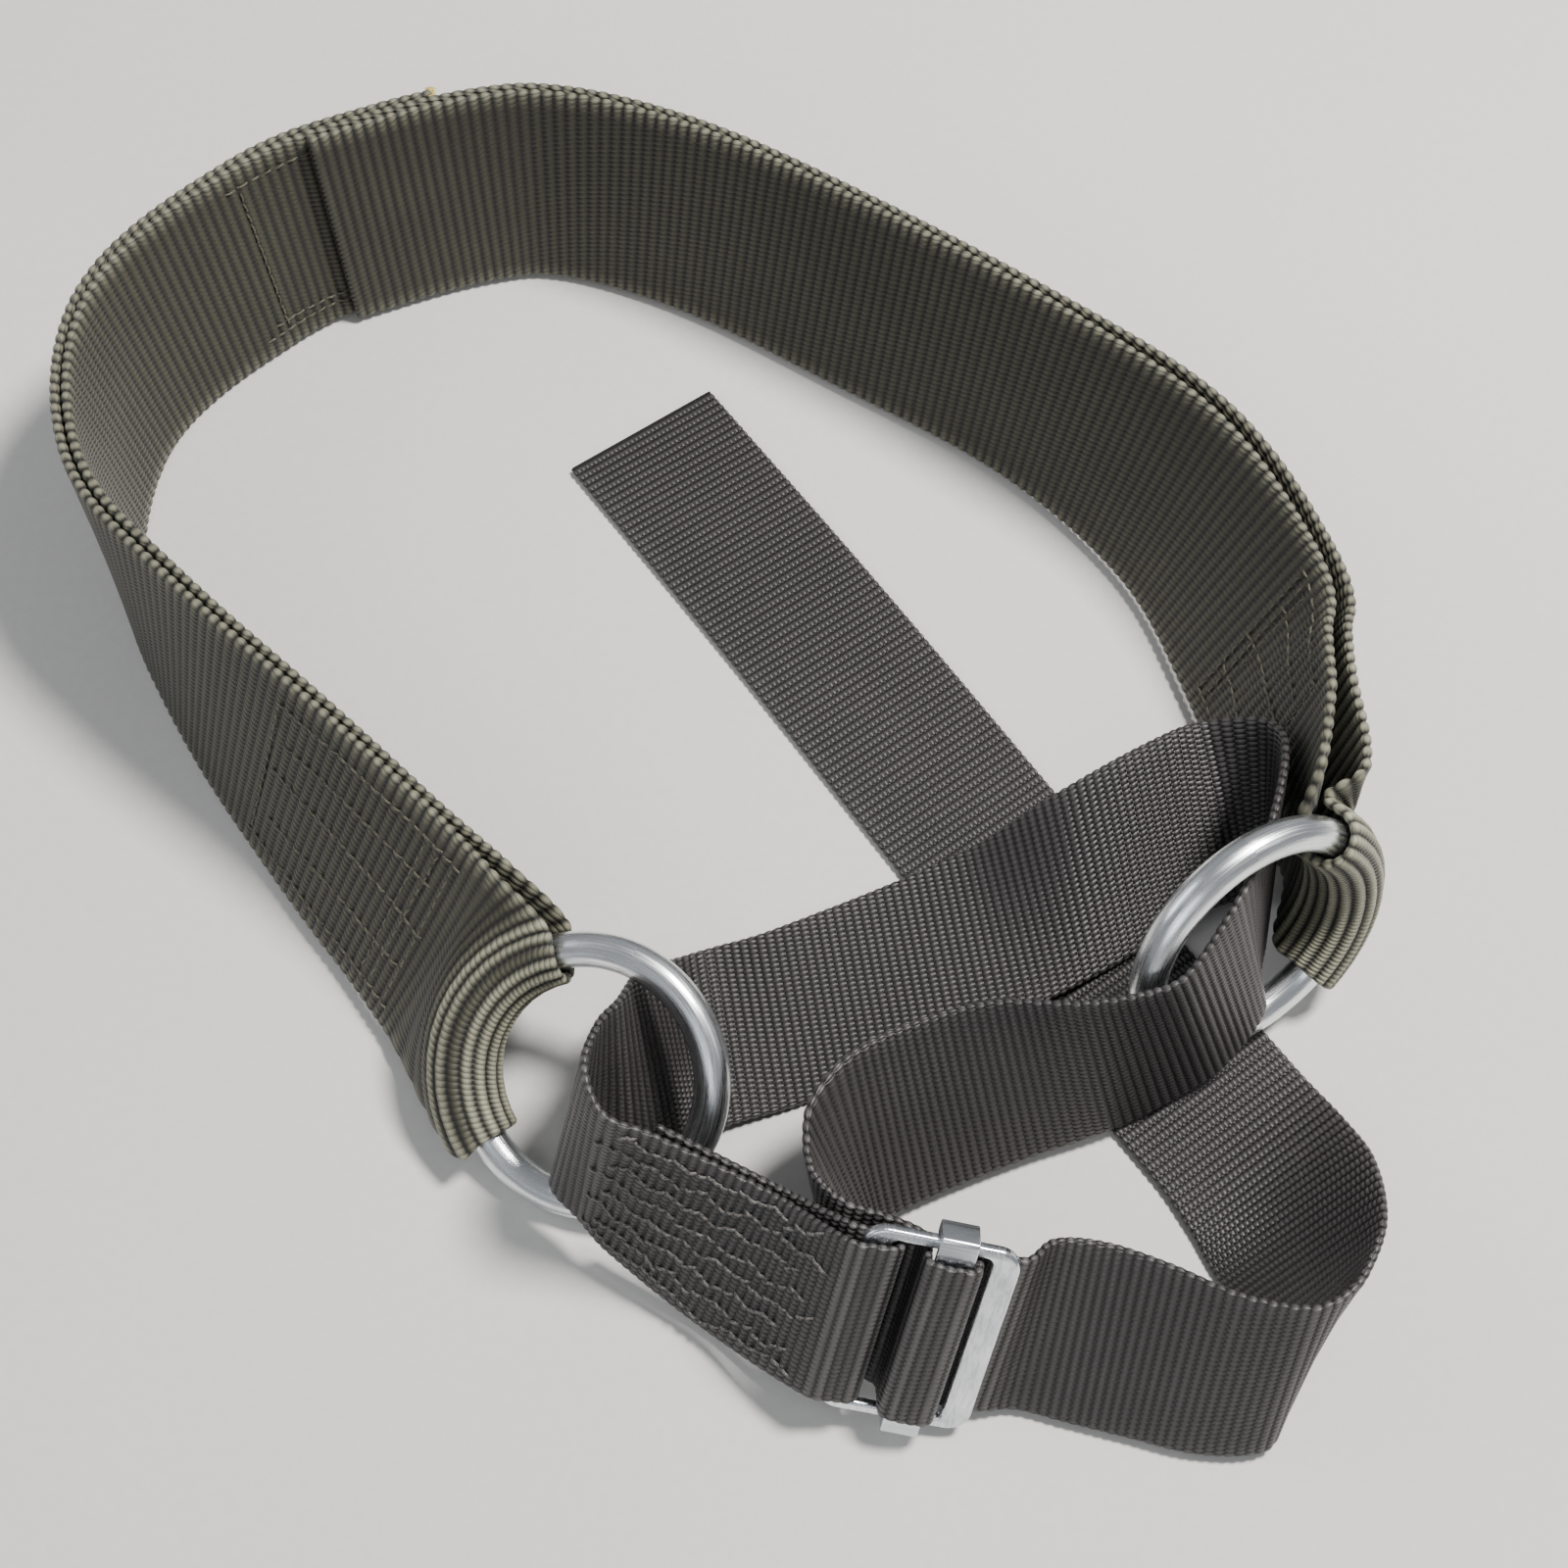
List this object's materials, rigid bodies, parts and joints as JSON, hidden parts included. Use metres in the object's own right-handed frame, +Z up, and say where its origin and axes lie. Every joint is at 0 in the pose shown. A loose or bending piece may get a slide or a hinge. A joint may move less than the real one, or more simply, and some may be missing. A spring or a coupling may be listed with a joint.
{
  "type": "glute ham strap",
  "caption": "Webbing thigh loop with two steel rings, joined by an adjustable black webbing strap with a sliding bar buckle, lying on a surface.",
  "frame": {"origin": "middle of the bounding box on the floor that the strap lies on", "axes": "+Z up from the floor, +Y away from the picture's viewer, +X to the viewer's right"},
  "size_m": [0.269, 0.2916, 0.0561],
  "materials": {
    "band_webbing": "ribbed heavy webbing",
    "strap_webbing": "ribbed webbing",
    "ring_steel": "bright zinc plate",
    "buckle_steel": "bright zinc plate"
  },
  "bodies": {
    "root": {"band_webbing": "band_webbing", "strap_webbing": "strap_webbing", "ring_left": "ring_steel", "ring_right": "ring_steel", "buckle_frame": "buckle_steel", "buckle_bar": "buckle_steel"}
  },
  "joints": []
}
